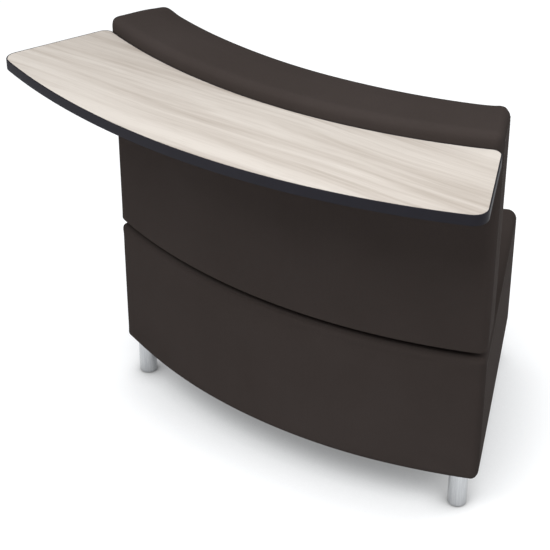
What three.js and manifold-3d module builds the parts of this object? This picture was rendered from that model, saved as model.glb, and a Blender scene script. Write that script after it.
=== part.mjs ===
// A curved, upholstered counter unit: a padded bench base on four round steel legs, a tall padded back
// standing on it, and a laminate worktop carried on steel brackets at standing height outside the back.
// Eight units set end to end close a full ring. Millimetres, +Z up, the worktop side faces -Y,
// and the origin lies on the floor under the middle of the unit's plan.

import * as THREE from "three";
import { mergeVertices } from "three/addons/utils/BufferGeometryUtils.js";
import Module from "manifold-3d";

const wasm = await Module();
wasm.setup();

// ---- Driving dimensions ---------------------------------------------------------------------

const HALF_ANGLE = THREE.MathUtils.degToRad(22.5); // half of the plan's 45 degree sector
const FACE_R = 1510; // radius of the customer-side face of base and back
const BASE_DEPTH = 766; // from that face to the seat's front edge
const BACK_DEPTH = 173;
const BASE_UNDERSIDE = 102; // height of the base above the floor
const SEAT_TOP = 484;
const BACK_TOP = 1106;
const BACK_REVEAL = 18; // shadow gap between the seat and the back's cover
const BACK_FOOT_INSET = 45; // from the back's cover to the foot that holds that gap open
const NECK_CLEARANCE = 5; // from the cover's hem to the neck that joins the foot to the rail
const BASE_EDGE_R = 20; // soft edges of the two padded blocks; the back's lower edges are square
const BACK_EDGE_R = 24;

const WORKTOP_TOP = 1067;
const WORKTOP_DEPTH = 305;
const WORKTOP_FRONT_CORNER = 38;
const WORKTOP_BACK_CORNER = 25;
const CORE_T = 24;
const LAMINATE_T = 1;
const EDGE_BAND_T = 3;

const COVER_T = 1.5; // coated upholstery fabric
const HEM = 40; // how far the covers turn in under the blocks
const PLY_T = 18;
const SKIN_T = 9; // bent plywood skins
const POST_T = 36;
const SEAT_FOAM = 60;
const BACK_OUTER_FOAM = 10;
const BACK_CUSHION = 40;
const BACK_TOP_FOAM = 25;
const DUST_COVER_T = 1;

const LEG_R = 25.4;
const LEG_WALL = 2;
const LEG_PLUG_T = 8;
const LEG_END_PLATE_T = 4;
const STUD_R = 5;
const STUD_RISE = 21;
const TEE_NUT_R = 6.5;
const TEE_NUT_FLANGE_R = 11;
const TEE_NUT_FLANGE_T = 1.5;
const TEE_NUT_CLEARANCE = 0.7; // between its flange and the walls of the base, which sets the legs' places
const TEE_NUT_BARREL = 12;
const FOOT_R = 21;
const FOOT_T = 5;
const FOOT_SHOWN = 3; // foot pad showing below the leg tube when wound fully in
const FOOT_STEM = 40;

const BRACKET_ANGLES = [-14, 0, 14].map(THREE.MathUtils.degToRad);
const BRACKET_W = 60;
const BRACKET_T = 5;
const BRACKET_REACH = 240;
const BRACKET_DROP = 140;
const GUSSET_T = 6;
const GUSSET_TOE = 25; // length of plate left bare past the gusset's toes

const BOLT_ANGLES = [-15, 0, 15].map(THREE.MathUtils.degToRad);
const BOLT_R = 4;
const HEX_R = 7.5; // across corners, halved
const BOLT_HEAD_T = 5.3;
const NUT_T = 8;
const BOLT_PAST_NUT = 4;
const RIB_ANGLES = [-8, 8].map(THREE.MathUtils.degToRad);

const GAP = 0.4; // between touching pieces
const RUNNING = 0.3; // radial, round a thread or stem
const ARC_STEPS = 20; // facets along each long arc
const BEND_STEPS = 3; // facets round each soft edge and corner
const ROUND_STEPS = 20; // facets round each turned piece that shows
const HARDWARE_STEPS = 12; // and round the hidden ones, and the holes
const FRAME_MARGIN = 1.3; // base frame's square edges, clear of the block's soft edges

// ---- Worked-out dimensions ------------------------------------------------------------------

const SEAT_R = FACE_R - BASE_DEPTH;
const BACK_R = FACE_R - BACK_DEPTH;
const SEAT_CORNER_A = HALF_ANGLE - Math.asin(BASE_EDGE_R / (SEAT_R + BASE_EDGE_R));
const REAR_Y = -(SEAT_R + BASE_EDGE_R) * Math.cos(SEAT_CORNER_A) + BASE_EDGE_R; // from the arc's centre
const FRONT_Y = -(FACE_R + WORKTOP_DEPTH);
const CENTRE_Y = -(FRONT_Y + REAR_Y) / 2; // arc centre, seen from the origin
const SKIN_INSET = COVER_T + GAP; // outside of the foam, from the cover's outside
const baseFrame = BASE_EDGE_R + FRAME_MARGIN; // outside of the base's plywood box, from the cover's outside
const baseFoamIn = baseFrame - GAP; // inside of the foam on its walls
const nutRoom = TEE_NUT_FLANGE_R + TEE_NUT_CLEARANCE;
const legFaceInset = baseFrame + SKIN_T + nutRoom; // leg centre to the block's curved faces
const legEndInset = baseFrame + PLY_T + nutRoom; // and to its end planes
const SAG = FACE_R * (1 - Math.cos(HALF_ANGLE / ARC_STEPS)); // how far a facet's middle lies inside its arc

// ---- Materials ------------------------------------------------------------------------------

function finish(color, roughness, metalness = 0) {
  return new THREE.MeshStandardMaterial({ color, roughness, metalness });
}

const upholstery = finish("#3b3431", 0.62);
const foam = finish("#d8cfa8", 0.95);
const plywood = finish("#c49a6c", 0.75);
const chipboard = finish("#a98a63", 0.85);
const laminate = finish("#cfc6bd", 0.45);
const edging = finish("#34333a", 0.5);
const polishedSteel = finish("#c9cbce", 0.18, 1);
const zincSteel = finish("#a9adb3", 0.4, 1);
const paintedSteel = finish("#2b2b2d", 0.5, 0.6);
const nylon = finish("#1d1d1f", 0.6);
const liner = finish("#18181a", 0.95);

// ---- Solids ---------------------------------------------------------------------------------

function solid(geometry) {
  const bare = geometry.index ? geometry.toNonIndexed() : geometry.clone();
  bare.deleteAttribute("normal");
  bare.deleteAttribute("uv");
  const merged = mergeVertices(bare, 1e-4);
  return new wasm.Manifold(
    new wasm.Mesh({
      numProp: 3,
      vertProperties: merged.attributes.position.array,
      triVerts: new Uint32Array(merged.index.array),
    }),
  );
}

function geometryOf(manifold) {
  const { vertProperties, triVerts } = manifold.getMesh();
  const geometry = new THREE.BufferGeometry();
  geometry.setAttribute("position", new THREE.BufferAttribute(new Float32Array(vertProperties), 3));
  geometry.setIndex(new THREE.BufferAttribute(new Uint32Array(triVerts), 1));
  const flat = geometry.toNonIndexed();
  flat.computeVertexNormals();
  return flat;
}

const joined = (first, ...others) => others.reduce((sum, one) => sum.add(one), first);
const cut = (body, ...tools) => tools.reduce((rest, tool) => rest.subtract(tool), body);

// ---- Plan outlines --------------------------------------------------------------------------

// A point of the plan at radius r and angle a from the middle, positive towards +X.
const planPoint = (r, a) => new THREE.Vector2(r * Math.sin(a), CENTRE_Y - r * Math.cos(a));

// Angle at radius r of a line parallel to the end plane and the given inset inside it.
const endAngle = (r, inset) => HALF_ANGLE - Math.asin(inset / r);

function arcPoints(centre, r, from, to, steps) {
  const points = [];
  for (let i = 0; i <= steps; i++) {
    const a = from + ((to - from) * i) / steps;
    points.push(new THREE.Vector2(centre.x + r * Math.cos(a), centre.y + r * Math.sin(a)));
  }
  return points;
}

// The sector between radii inner and outer, with its ends inset and its four corners rounded.
function sectorOutline({ inner, outer, inset, outerCorner = 0, innerCorner = 0 }) {
  const outerA = endAngle(outer - outerCorner, inset + outerCorner);
  const innerA = endAngle(inner + innerCorner, inset + innerCorner);
  const arcCentre = new THREE.Vector2(0, CENTRE_Y);
  const down = -Math.PI / 2;
  const right = [];
  if (outerCorner) {
    const centre = planPoint(outer - outerCorner, outerA);
    right.push(...arcPoints(centre, outerCorner, down + outerA, HALF_ANGLE, BEND_STEPS).slice(1));
  }
  if (innerCorner) {
    const centre = planPoint(inner + innerCorner, innerA);
    const last = Math.PI / 2 + innerA;
    right.push(...arcPoints(centre, innerCorner, HALF_ANGLE, last, BEND_STEPS).slice(0, -1));
  }
  const left = right.map((p) => new THREE.Vector2(-p.x, p.y)).reverse();
  const outerArc = arcPoints(arcCentre, outer, down - outerA, down + outerA, ARC_STEPS);
  const innerArc = arcPoints(arcCentre, inner, down + innerA, down - innerA, ARC_STEPS);
  return [...outerArc, ...right, ...innerArc, ...left];
}

function prism(outline, bottom, top) {
  const options = { depth: top - bottom, bevelEnabled: false };
  return new THREE.ExtrudeGeometry(new THREE.Shape(outline), options).translate(0, 0, bottom);
}

// A sector block with every edge rounded to the radius edge, shrunk all round by shrink.
function softBlock(inner, bottom, top, edge, shrink = 0) {
  const r = edge - shrink;
  const corner = r + 1; // a little over the edge radius, so that no facet closes to a point
  const outline = sectorOutline({
    inner: inner + shrink,
    outer: FACE_R - shrink,
    inset: shrink,
    outerCorner: corner,
    innerCorner: corner,
  });
  const geometry = new THREE.ExtrudeGeometry(new THREE.Shape(outline), {
    depth: top - bottom - 2 * shrink - 2 * r,
    bevelThickness: r,
    bevelSize: r,
    bevelOffset: -r,
    bevelSegments: BEND_STEPS,
  });
  return solid(geometry.translate(0, 0, bottom + shrink + r));
}

// The same block standing on a flat, square-edged underside.
function standingBlock(inner, bottom, top, edge, shrink = 0) {
  const block = softBlock(inner, bottom - 2 * edge, top, edge, shrink);
  const below = new THREE.BoxGeometry(4 * FACE_R, 4 * FACE_R, 4 * edge);
  return block.subtract(solid(below.translate(0, 0, bottom + shrink - 2 * edge)));
}

function sector(inner, outer, inset, bottom, top) {
  return solid(prism(sectorOutline({ inner, outer, inset }), bottom, top));
}

// How far along a radius a board's end corner, offset sideways, may go and stay inside the arc of radius r.
const reach = (r, offset) => Math.sqrt((r - SAG) ** 2 - offset ** 2);

// An upright board standing along a radius, its middle at angle a, between two radii.
function radialBoard(a, thickness, inner, outer, bottom, top) {
  const end = reach(outer, thickness / 2);
  const box = new THREE.BoxGeometry(thickness, end - inner, top - bottom);
  box.translate(0, -(inner + end) / 2, (bottom + top) / 2);
  return box.rotateZ(a).translate(0, CENTRE_Y, 0);
}

// The same board laid against the end plane instead: side is -1 for the left end and 1 for the right.
function endBoard(side, inset, thickness, inner, outer, bottom, top) {
  const end = reach(outer, inset + thickness);
  const box = new THREE.BoxGeometry(thickness, end - inner, top - bottom);
  box.translate(-side * (inset + thickness / 2), -(inner + end) / 2, (bottom + top) / 2);
  return box.rotateZ(side * HALF_ANGLE).translate(0, CENTRE_Y, 0);
}

function upright(r, x, y, bottom, top, steps = HARDWARE_STEPS) {
  const cylinder = new THREE.CylinderGeometry(r, r, top - bottom, steps);
  return solid(cylinder.rotateX(Math.PI / 2).translate(x, y, (bottom + top) / 2));
}

// A turned piece on its own upright axis: profile is a list of [radius, height] pairs.
function turned(profile, steps) {
  const points = profile.map(([r, z]) => new THREE.Vector2(r, z));
  return new THREE.LatheGeometry(points, steps).rotateX(Math.PI / 2);
}

// ---- The unit -------------------------------------------------------------------------------

const unit = new THREE.Group();

function add(name, geometry, material, group = unit) {
  const mesh = new THREE.Mesh(geometry, material);
  mesh.name = name;
  group.add(mesh);
  return mesh;
}

const sides = [
  ["left", -1],
  ["right", 1],
];

// Plan places that several pieces share.
const plinthR = (BACK_R + FACE_R) / 2;
const boltPlaces = BOLT_ANGLES.map((a) => planPoint(plinthR, a));
const legPlaces = [];
for (const [, side] of sides)
  for (const r of [FACE_R - legFaceInset, SEAT_R + legFaceInset])
    legPlaces.push(planPoint(r, side * endAngle(r, legEndInset)));

const holes = (places, r, bottom, top) => places.map((p) => upright(r, p.x, p.y, bottom, top));

// ---- Base: a plywood box, foam all round it, and one sewn cover -----------------------------

const floorPanelZ = BASE_UNDERSIDE + COVER_T + GAP;
const seatPanelTop = SEAT_TOP - SKIN_INSET - SEAT_FOAM - GAP;
const seatPanelZ = seatPanelTop - PLY_T;
const baseWallZ = [floorPanelZ + PLY_T + GAP, seatPanelZ - GAP];
const bolt = { hole: BOLT_R + RUNNING, bottom: seatPanelZ - GAP };

function buildBaseFrame() {
  const inner = SEAT_R + baseFrame;
  const outer = FACE_R - baseFrame;
  const floorPanel = sector(inner, outer, baseFrame, floorPanelZ, floorPanelZ + PLY_T);
  const teeHoles = holes(legPlaces, TEE_NUT_R + GAP, floorPanelZ - 1, floorPanelZ + PLY_T + 1);
  add("base_floor_panel", geometryOf(cut(floorPanel, ...teeHoles)), plywood);

  const seatPanel = sector(inner, outer, baseFrame, seatPanelZ, seatPanelTop);
  const boltHoles = holes(boltPlaces, bolt.hole, seatPanelZ - 1, seatPanelTop + 1);
  add("seat_panel", geometryOf(cut(seatPanel, ...boltHoles)), plywood);

  const [low, high] = baseWallZ;
  const outerSkin = sector(outer - SKIN_T, outer, baseFrame, low, high);
  const innerSkin = sector(inner, inner + SKIN_T, baseFrame, low, high);
  add("base_outer_skin", geometryOf(outerSkin), plywood);
  add("base_inner_skin", geometryOf(innerSkin), plywood);

  const boardInner = inner + SKIN_T + GAP;
  const boardOuter = outer - SKIN_T - GAP;
  for (const [name, side] of sides) {
    const board = endBoard(side, baseFrame, PLY_T, boardInner, boardOuter, low, high);
    add(`base_end_panel_${name}`, board, plywood);
  }
  RIB_ANGLES.forEach((a, i) => {
    const board = radialBoard(a, PLY_T, boardInner, boardOuter, low, high);
    add(`base_rib_${sides[i][0]}`, board, plywood);
  });

  // Carries the back: it fills the seat foam's depth where the back stands.
  const plinth = sector(BACK_R, outer, baseFrame, seatPanelTop + GAP, SEAT_TOP - SKIN_INSET);
  const plinthHoles = holes(boltPlaces, bolt.hole, seatPanelTop - 1, SEAT_TOP + 1);
  add("back_plinth", geometryOf(cut(plinth, ...plinthHoles)), plywood);
}

function buildBaseFoam() {
  const padding = softBlock(SEAT_R, BASE_UNDERSIDE, SEAT_TOP, BASE_EDGE_R, SKIN_INSET);
  const walls = [floorPanelZ, seatPanelTop];
  const outerFoam = sector(FACE_R - baseFoamIn, FACE_R, 0, walls[0], SEAT_TOP);
  add("base_outer_foam", geometryOf(padding.intersect(outerFoam)), foam);
  const innerFoam = sector(SEAT_R, SEAT_R + baseFoamIn, 0, ...walls);
  add("base_inner_foam", geometryOf(padding.intersect(innerFoam)), foam);
  for (const [name, side] of sides) {
    const board = endBoard(side, 0, baseFoamIn, SEAT_R + baseFoamIn + GAP, FACE_R - baseFoamIn - GAP, ...walls);
    add(`base_end_foam_${name}`, geometryOf(padding.intersect(solid(board))), foam);
  }
  const cushionZone = sector(SEAT_R - 1, BACK_R - GAP, -1, seatPanelTop + GAP, SEAT_TOP);
  const endStrip = sector(BACK_R - GAP - 1, FACE_R - baseFoamIn - GAP, -1, seatPanelTop + GAP, SEAT_TOP);
  const plinthRoom = sector(BACK_R - GAP - 2, FACE_R, baseFoamIn, seatPanelTop, SEAT_TOP + 1);
  const zone = joined(cushionZone, cut(endStrip, plinthRoom));
  add("seat_cushion", geometryOf(padding.intersect(zone)), foam);
}

// A block's outer skin with its underside turned in by the hem, and holes where the bolts pass.
function coverShell(block, inner, bottom, top, edge, openings) {
  const outside = block(inner, bottom, top, edge);
  const inside = block(inner, bottom, top, edge, COVER_T);
  const mouth = sector(inner + HEM, FACE_R - HEM, HEM, bottom - 1, bottom + COVER_T + 1);
  return cut(outside, inside, mouth, ...openings);
}

function buildBaseCover() {
  const openings = [
    ...holes(boltPlaces, bolt.hole, SEAT_TOP - COVER_T - 1, SEAT_TOP + 1),
    ...holes(legPlaces, STUD_R + RUNNING, BASE_UNDERSIDE - 1, floorPanelZ),
  ];
  const cover = coverShell(softBlock, SEAT_R, BASE_UNDERSIDE, SEAT_TOP, BASE_EDGE_R, openings);
  add("base_cover", geometryOf(cover), upholstery);

  const inset = HEM + GAP;
  const liningTop = floorPanelZ - GAP;
  const lining = sector(SEAT_R + inset, FACE_R - inset, inset, liningTop - DUST_COVER_T, liningTop);
  const legHoles = holes(legPlaces, STUD_R + 2 * RUNNING, BASE_UNDERSIDE - 1, floorPanelZ);
  add("dust_cover", geometryOf(cut(lining, ...legHoles)), liner);
}

// ---- Legs: tube, plug with stud, tee nut in the floor panel, and a levelling foot -----------

function buildLeg(place, number) {
  const leg = new THREE.Group();
  leg.position.set(place.x, place.y, 0);
  unit.add(leg);

  const top = BASE_UNDERSIDE - GAP;
  const bore = LEG_R - LEG_WALL;
  const plateZ = FOOT_T + GAP;
  const plateTop = plateZ + LEG_END_PLATE_T;
  const threadR = STUD_R + RUNNING;
  const tube = turned([
    [threadR, plateZ],
    [bore, plateZ],
    [bore, FOOT_SHOWN],
    [LEG_R, FOOT_SHOWN],
    [LEG_R, top],
    [bore, top],
    [bore, plateTop],
    [threadR, plateTop],
    [threadR, plateZ],
  ], ROUND_STEPS);
  add(`leg_tube_${number}`, tube, polishedSteel, leg);

  const plugR = bore - GAP;
  const plug = turned([
    [0, top - LEG_PLUG_T],
    [plugR, top - LEG_PLUG_T],
    [plugR, top],
    [STUD_R, top],
    [STUD_R, top + STUD_RISE],
    [0, top + STUD_RISE],
  ], HARDWARE_STEPS);
  add(`leg_plug_${number}`, plug, zincSteel, leg);

  const flangeZ = floorPanelZ + PLY_T + GAP;
  const teeNut = turned([
    [threadR, flangeZ - GAP - TEE_NUT_BARREL],
    [TEE_NUT_R, flangeZ - GAP - TEE_NUT_BARREL],
    [TEE_NUT_R, flangeZ],
    [TEE_NUT_FLANGE_R, flangeZ],
    [TEE_NUT_FLANGE_R, flangeZ + TEE_NUT_FLANGE_T],
    [threadR, flangeZ + TEE_NUT_FLANGE_T],
    [threadR, flangeZ - GAP - TEE_NUT_BARREL],
  ], HARDWARE_STEPS);
  add(`leg_tee_nut_${number}`, teeNut, zincSteel, leg);

  const foot = turned([
    [0, 0],
    [FOOT_R - 1, 0],
    [FOOT_R, 1],
    [FOOT_R, FOOT_T],
    [STUD_R, FOOT_T],
    [STUD_R, FOOT_T + FOOT_STEM],
    [0, FOOT_T + FOOT_STEM],
  ], ROUND_STEPS);
  add(`levelling_foot_${number}`, foot, nylon, leg);
}

// ---- Back: a plywood frame with posts where the worktop brackets bolt on --------------------

const backZ = SEAT_TOP + BACK_REVEAL;
const backFrame = SKIN_INSET + BACK_OUTER_FOAM + GAP;
const backFrameInner = BACK_R + SKIN_INSET + BACK_CUSHION + GAP;
const backFrameOuter = FACE_R - backFrame;
const backRailZ = backZ + SKIN_INSET;
const backFrameTop = BACK_TOP - SKIN_INSET - BACK_TOP_FOAM - GAP;
const backWallZ = [backRailZ + PLY_T + GAP, backFrameTop - PLY_T - GAP];

function buildBackFrame() {
  // The bottom rail has a narrow foot that stands on the seat, on a neck through the cover's mouth.
  const inset = BACK_FOOT_INSET;
  const neckInset = HEM + NECK_CLEARANCE;
  const neckInner = Math.max(BACK_R + neckInset, backFrameInner);
  const lowRail = sector(backFrameInner, backFrameOuter, backFrame, backRailZ, backRailZ + PLY_T);
  const neck = sector(neckInner, FACE_R - neckInset, neckInset, backZ - GAP - 1, backRailZ + 1);
  const foot = sector(BACK_R + inset, FACE_R - inset, inset, SEAT_TOP + GAP, backZ - GAP);
  const railHoles = holes(boltPlaces, bolt.hole, SEAT_TOP - 1, backRailZ + PLY_T + 1);
  add("back_bottom_rail", geometryOf(cut(joined(lowRail, neck, foot), ...railHoles)), plywood);
  const topRail = sector(backFrameInner, backFrameOuter, backFrame, backFrameTop - PLY_T, backFrameTop);
  add("back_top_rail", geometryOf(topRail), plywood);

  const [low, high] = backWallZ;
  const outerSkin = sector(backFrameOuter - SKIN_T, backFrameOuter, backFrame, low, high);
  const innerSkin = sector(backFrameInner, backFrameInner + SKIN_T, backFrame, low, high);
  add("back_outer_skin", geometryOf(outerSkin), plywood);
  add("back_inner_skin", geometryOf(innerSkin), plywood);

  const boardInner = backFrameInner + SKIN_T + GAP;
  const boardOuter = backFrameOuter - SKIN_T - GAP;
  for (const [name, side] of sides) {
    const board = endBoard(side, backFrame, PLY_T, boardInner, boardOuter, low, high);
    add(`back_end_panel_${name}`, board, plywood);
  }
  ["left", "middle", "right"].forEach((name, i) => {
    const board = radialBoard(BRACKET_ANGLES[i], POST_T, boardInner, boardOuter, low + NUT_T * 2, high);
    add(`back_post_${name}`, board, plywood);
  });
}

function buildBackFoam() {
  const padding = standingBlock(BACK_R, backZ, BACK_TOP, BACK_EDGE_R, SKIN_INSET);
  const foamIn = SKIN_INSET + BACK_OUTER_FOAM;
  const cushionIn = SKIN_INSET + BACK_CUSHION;
  const topFoamZ = backFrameTop + GAP;
  const walls = [backRailZ - 1, backFrameTop];
  const cushion = sector(BACK_R, BACK_R + cushionIn, 0, ...walls);
  add("back_cushion", geometryOf(padding.intersect(cushion)), foam);
  const outerFoam = sector(FACE_R - foamIn, FACE_R, 0, ...walls);
  add("back_outer_foam", geometryOf(padding.intersect(outerFoam)), foam);
  add("back_top_foam", geometryOf(padding.intersect(sector(BACK_R, FACE_R, 0, topFoamZ, BACK_TOP))), foam);
  for (const [name, side] of sides) {
    const board = endBoard(side, 0, foamIn, BACK_R + cushionIn + GAP, FACE_R - foamIn - GAP, ...walls);
    add(`back_end_foam_${name}`, geometryOf(padding.intersect(solid(board))), foam);
  }
}

function buildBackCover() {
  const openings = holes(boltPlaces, bolt.hole, backZ - 1, backRailZ);
  const cover = coverShell(standingBlock, BACK_R, backZ, BACK_TOP, BACK_EDGE_R, openings);
  add("back_cover", geometryOf(cover), upholstery);
}

function buildBackBolts() {
  boltPlaces.forEach((place, i) => {
    const nutZ = backRailZ + PLY_T + GAP;
    const head = upright(HEX_R, place.x, place.y, bolt.bottom - BOLT_HEAD_T, bolt.bottom, 6);
    const shank = upright(BOLT_R, place.x, place.y, bolt.bottom - 1, nutZ + NUT_T + BOLT_PAST_NUT);
    add(`back_bolt_${i + 1}`, geometryOf(joined(head, shank)), zincSteel);
    const nut = upright(HEX_R, place.x, place.y, nutZ, nutZ + NUT_T, 6);
    const thread = upright(bolt.hole, place.x, place.y, nutZ - 1, nutZ + NUT_T + 1);
    add(`back_nut_${i + 1}`, geometryOf(cut(nut, thread)), zincSteel);
  });
}

// ---- Worktop --------------------------------------------------------------------------------

const worktopBottom = WORKTOP_TOP - CORE_T - 2 * LAMINATE_T;

function worktopOutline(shrink) {
  return sectorOutline({
    inner: FACE_R + GAP + shrink,
    outer: FACE_R + WORKTOP_DEPTH - shrink,
    inset: shrink,
    outerCorner: WORKTOP_FRONT_CORNER - shrink,
    innerCorner: WORKTOP_BACK_CORNER - shrink,
  });
}

function buildWorktop() {
  const inset = EDGE_BAND_T + GAP;
  const coreZ = worktopBottom + LAMINATE_T;
  const sheet = (bottom, top) => prism(worktopOutline(inset), bottom, top);
  add("worktop_backer", sheet(worktopBottom, coreZ - GAP / 2), laminate);
  add("worktop_core", sheet(coreZ, coreZ + CORE_T), chipboard);
  add("worktop_laminate", sheet(coreZ + CORE_T + GAP / 2, WORKTOP_TOP), laminate);
  const rim = solid(prism(worktopOutline(0), worktopBottom, WORKTOP_TOP));
  const inside = solid(prism(worktopOutline(EDGE_BAND_T), worktopBottom - 1, WORKTOP_TOP + 1));
  add("worktop_edge_band", geometryOf(cut(rim, inside)), edging);
}

// A welded angle bracket with a gusset, standing along a radius at angle a.
function buildBracket(a, name) {
  const near = FACE_R + 2 * GAP;
  const top = worktopBottom - GAP;
  const shelf = new THREE.BoxGeometry(BRACKET_W, BRACKET_REACH, BRACKET_T);
  shelf.translate(0, -near - BRACKET_REACH / 2, top - BRACKET_T / 2);
  const flange = new THREE.BoxGeometry(BRACKET_W, BRACKET_T, BRACKET_DROP);
  flange.translate(0, -near - BRACKET_T / 2, top - BRACKET_DROP / 2);
  const gussetShape = new THREE.Shape([
    new THREE.Vector2(near + BRACKET_T / 2, top - BRACKET_T / 2),
    new THREE.Vector2(near + BRACKET_T / 2, top - BRACKET_DROP + GUSSET_TOE),
    new THREE.Vector2(near + BRACKET_T, top - BRACKET_DROP + GUSSET_TOE),
    new THREE.Vector2(near + BRACKET_REACH - GUSSET_TOE, top - BRACKET_T),
    new THREE.Vector2(near + BRACKET_REACH - GUSSET_TOE, top - BRACKET_T / 2),
  ]);
  const gusset = new THREE.ExtrudeGeometry(gussetShape, { depth: GUSSET_T, bevelEnabled: false });
  gusset.translate(0, 0, -GUSSET_T / 2).rotateX(Math.PI / 2).rotateZ(-Math.PI / 2);
  const bracket = geometryOf(joined(solid(shelf), solid(flange), solid(gusset)));
  add(`worktop_bracket_${name}`, bracket.rotateZ(a).translate(0, CENTRE_Y, 0), paintedSteel);
}

// ---- Assembly -------------------------------------------------------------------------------

buildBaseFrame();
buildBaseFoam();
buildBaseCover();
legPlaces.forEach((place, i) => buildLeg(place, i + 1));
buildBackFrame();
buildBackFoam();
buildBackCover();
buildBackBolts();
buildWorktop();
["left", "middle", "right"].forEach((name, i) => buildBracket(BRACKET_ANGLES[i], name));

export default unit;
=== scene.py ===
# %% [markdown]
# # A curved service counter
# The real thing is one of eight like units that close into a ring. A padded bench stands on four
# chromed legs, a tall padded back stands on the bench's outer edge, and a wood-grain worktop is
# carried outside the back at standing height. This lesson dresses a measured frame: every hard part
# already has its true size there, so the work here is fabric, seams, edges, hardware and finish.

import math

import bmesh
import bpy
from mathutils import Matrix, Vector, kdtree


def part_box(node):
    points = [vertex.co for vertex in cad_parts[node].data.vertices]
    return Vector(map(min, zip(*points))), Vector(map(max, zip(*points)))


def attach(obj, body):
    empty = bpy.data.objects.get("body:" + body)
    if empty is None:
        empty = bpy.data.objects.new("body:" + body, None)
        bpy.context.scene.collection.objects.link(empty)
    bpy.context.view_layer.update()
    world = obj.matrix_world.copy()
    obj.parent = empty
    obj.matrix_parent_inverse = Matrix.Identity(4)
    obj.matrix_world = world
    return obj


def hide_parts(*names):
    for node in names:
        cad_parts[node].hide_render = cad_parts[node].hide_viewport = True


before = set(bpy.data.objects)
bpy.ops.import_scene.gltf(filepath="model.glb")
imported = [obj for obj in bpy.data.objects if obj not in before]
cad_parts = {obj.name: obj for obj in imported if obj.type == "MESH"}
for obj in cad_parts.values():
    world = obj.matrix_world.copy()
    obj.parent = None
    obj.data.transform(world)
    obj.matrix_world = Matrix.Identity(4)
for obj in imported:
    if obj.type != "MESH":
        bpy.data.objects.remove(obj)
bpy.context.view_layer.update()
scene = bpy.context.scene

# %% [markdown]
# ## Where the curve's centre is
# In plan the unit is a slice of a ring, so each piece is easiest to make round the ring's centre and
# then slid into place. The base's cover touches its outer radius at the middle of the unit, and that
# one number places the centre. Everything else is a radius, a height or an angle.

# %% Main sizes
HALF_ANGLE = math.radians(22.5)
FACE_R = 1.510
BACK_R = 1.337
SEAT_R = 0.744
base_low, base_high = (Vector(corner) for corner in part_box("base_cover"))
back_low, back_high = (Vector(corner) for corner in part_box("back_cover"))
band_low, band_high = (Vector(corner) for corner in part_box("worktop_edge_band"))
CENTRE = Vector((0.0, FACE_R + base_low.y, 0.0))
WORKTOP_R = CENTRE.y - band_low.y
SIDES = (("left", -1), ("right", 1))
print("curve centre", round(CENTRE.y, 4), "worktop radius", round(WORKTOP_R, 4))

# %% [markdown]
# ## Small helpers
# A finished piece keeps its object at the origin and its place in its mesh. So one helper takes a
# bmesh made round the curve's centre, slides its points into place and hands back an object that
# already rides on its body. Hard pieces are shaded smooth with their sharp edges kept sharp.

# %% Make an object from a bmesh
SHARP = math.radians(21)


def finished(name, bm, material, body="counter", centre=CENTRE, sharp=SHARP):
    bmesh.ops.translate(bm, vec=centre, verts=bm.verts)
    mesh = bpy.data.meshes.new(name)
    bm.to_mesh(mesh)
    bm.free()
    mesh.materials.append(material)
    mesh.shade_smooth()
    if sharp:
        mesh.set_sharp_from_angle(angle=sharp)
    piece = bpy.data.objects.new(name, mesh)
    scene.collection.objects.link(piece)
    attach(piece, body)
    return piece


def round_edges(bm, edges, radius, segments=3):
    bmesh.ops.bevel(
        bm,
        geom=edges,
        offset=radius,
        offset_type="OFFSET",
        segments=segments,
        profile=0.5,
        affect="EDGES",
        material=-1,
        clamp_overlap=True,
    )


def sharp_edges(bm, angle=1.0):
    return [e for e in bm.edges if len(e.link_faces) == 2 and e.calc_face_angle() > angle]


def joined(bm, part):
    """Move a small bmesh's faces into a larger one."""
    mesh = bpy.data.meshes.new("part")
    part.to_mesh(mesh)
    part.free()
    bm.from_mesh(mesh)
    bpy.data.meshes.remove(mesh)


# %% Turn a profile on an upright axis
def turned(bm, profile, steps=48):
    """profile is a list of (radius, height); it starts and ends on the axis, or closes on itself."""
    verts = [bm.verts.new((r, 0.0, z)) for r, z in profile]
    edges = [bm.edges.new(pair) for pair in zip(verts, verts[1:])]
    bmesh.ops.spin(
        bm,
        geom=verts + edges,
        cent=(0, 0, 0),
        axis=(0, 0, 1),
        angle=2 * math.pi,
        steps=steps,
        use_merge=True,
    )
    bmesh.ops.remove_doubles(bm, verts=bm.verts, dist=1e-6)
    bmesh.ops.recalc_face_normals(bm, faces=bm.faces)


# %% [markdown]
# ## Shader building blocks
# Each effect that more than one finish needs is a node group: it takes a place on the object and gives
# back a tone between 0 and 1, a mask or a height, never a shader. The finish then decides what the tone
# colours and how deep the height goes. Positions are Object coordinates, which are metres here, so a
# scale of 800 means a grain of about a millimetre.

# %% Node helpers
def put(tree, kind, inputs=None, **settings):
    node = tree.nodes.new(kind)
    for key, value in settings.items():
        setattr(node, key, value)
    for key, value in (inputs or {}).items():
        if isinstance(value, bpy.types.NodeSocket):
            tree.links.new(value, node.inputs[key])
        else:
            node.inputs[key].default_value = value
    return node


def maths(tree, operation, a, b=0.0, c=0.0):
    return put(tree, "ShaderNodeMath", {0: a, 1: b, 2: c}, operation=operation).outputs[0]


def mixed(tree, factor, a, b, blend="MIX"):
    inputs = {0: factor, 6: a, 7: b}
    return put(tree, "ShaderNodeMix", inputs, data_type="RGBA", blend_type=blend).outputs[2]


def fitted(tree, value, low, high, to_low=0.0, to_high=1.0):
    inputs = {"Value": value, "From Min": low, "From Max": high, "To Min": to_low, "To Max": to_high}
    return put(tree, "ShaderNodeMapRange", inputs, clamp=True).outputs[0]


def stretched(tree, vector, scale):
    return put(tree, "ShaderNodeMapping", {"Vector": vector, "Scale": scale}).outputs[0]


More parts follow.
